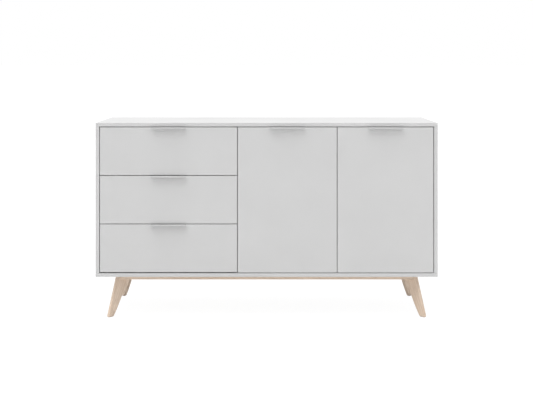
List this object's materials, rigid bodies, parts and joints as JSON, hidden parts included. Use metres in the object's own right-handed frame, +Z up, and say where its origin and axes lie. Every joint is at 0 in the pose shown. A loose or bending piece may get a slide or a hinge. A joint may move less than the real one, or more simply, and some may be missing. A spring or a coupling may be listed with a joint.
{
  "type": "sideboard",
  "caption": "Low sideboard on splayed wooden legs, with a stack of drawers, a pair of hinged doors with a shelf behind each, and lip handles.",
  "frame": {"origin": "middle of the whole outline at floor level", "axes": "+X to the right seen from the front, along the width; the fronts face -Y; +Z up"},
  "size_m": [1.5, 0.415, 0.857],
  "materials": {
    "body_paint": "matt lacquered board",
    "front_paint": "matt lacquered board",
    "handle_paint": "satin powder coat",
    "oak": "pale bleached oak, matt oil",
    "box_melamine": "white melamine on board",
    "zinc": "zinc plated",
    "plastic": "moulded, matt"
  },
  "bodies": {
    "carcass": {"top_panel": "body_paint", "bottom_panel": "body_paint", "side_left": "body_paint", "side_right": "body_paint", "divider_left": "body_paint", "divider_right": "body_paint", "back_sheet_left": "box_melamine", "back_sheet_right": "box_melamine", "shelf_left": "box_melamine", "shelf_right": "box_melamine", "shelf_pins": "zinc", "cam_locks": "zinc", "cam_bolts": "zinc", "rail_front": "oak", "rail_back": "oak", "rail_left": "oak", "rail_right": "oak", "leg_front_left": "oak", "leg_front_right": "oak", "leg_back_left": "oak", "leg_back_right": "oak", "leg_bolts": "zinc", "leg_glides": "plastic", "runner_rails_fixed": "zinc", "hinge_arms": "zinc", "hinge_plates": "zinc", "door_stops": "plastic"},
    "drawer_top": {"drawer_top_front": "front_paint", "drawer_top_handle": "handle_paint", "drawer_top_side_left": "box_melamine", "drawer_top_side_right": "box_melamine", "drawer_top_back": "box_melamine", "drawer_top_bottom": "box_melamine", "drawer_top_runner_inner": "zinc"},
    "runner_middle_top": {"drawer_top_runner_middle": "zinc"},
    "drawer_middle": {"drawer_middle_front": "front_paint", "drawer_middle_handle": "handle_paint", "drawer_middle_side_left": "box_melamine", "drawer_middle_side_right": "box_melamine", "drawer_middle_back": "box_melamine", "drawer_middle_bottom": "box_melamine", "drawer_middle_runner_inner": "zinc"},
    "runner_middle_middle": {"drawer_middle_runner_middle": "zinc"},
    "drawer_bottom": {"drawer_bottom_front": "front_paint", "drawer_bottom_handle": "handle_paint", "drawer_bottom_side_left": "box_melamine", "drawer_bottom_side_right": "box_melamine", "drawer_bottom_back": "box_melamine", "drawer_bottom_bottom": "box_melamine", "drawer_bottom_runner_inner": "zinc"},
    "runner_middle_bottom": {"drawer_bottom_runner_middle": "zinc"},
    "door_left": {"door_left_panel": "front_paint", "door_left_handle": "handle_paint", "door_left_hinge_cups": "zinc"},
    "door_right": {"door_right_panel": "front_paint", "door_right_handle": "handle_paint", "door_right_hinge_cups": "zinc"}
  },
  "joints": [
    {"name": "drawer_top_slide", "type": "slide", "parent": "carcass", "child": "drawer_top", "axis": [0, -1, 0], "range_m": [0, 0.325]},
    {"name": "runner_middle_top_slide", "type": "slide", "parent": "carcass", "child": "runner_middle_top", "axis": [0, -1, 0], "range_m": [0, 0.1625]},
    {"name": "drawer_middle_slide", "type": "slide", "parent": "carcass", "child": "drawer_middle", "axis": [0, -1, 0], "range_m": [0, 0.325]},
    {"name": "runner_middle_middle_slide", "type": "slide", "parent": "carcass", "child": "runner_middle_middle", "axis": [0, -1, 0], "range_m": [0, 0.1625]},
    {"name": "drawer_bottom_slide", "type": "slide", "parent": "carcass", "child": "drawer_bottom", "axis": [0, -1, 0], "range_m": [0, 0.325]},
    {"name": "runner_middle_bottom_slide", "type": "slide", "parent": "carcass", "child": "runner_middle_bottom", "axis": [0, -1, 0], "range_m": [0, 0.1625]},
    {"name": "door_left_swing", "type": "hinge", "parent": "carcass", "child": "door_left", "pos_m": [-0.114, -0.1845, 0.5195], "axis": [0, 0, -1], "range_deg": [0, 90]},
    {"name": "door_right_swing", "type": "hinge", "parent": "carcass", "child": "door_right", "pos_m": [0.7185, -0.1845, 0.5195], "axis": [0, 0, 1], "range_deg": [0, 90]}
  ],
  "couplings": [
    {"joint": "runner_middle_top_slide", "follows": "drawer_top_slide", "ratio": 0.5},
    {"joint": "runner_middle_middle_slide", "follows": "drawer_middle_slide", "ratio": 0.5},
    {"joint": "runner_middle_bottom_slide", "follows": "drawer_bottom_slide", "ratio": 0.5}
  ]
}
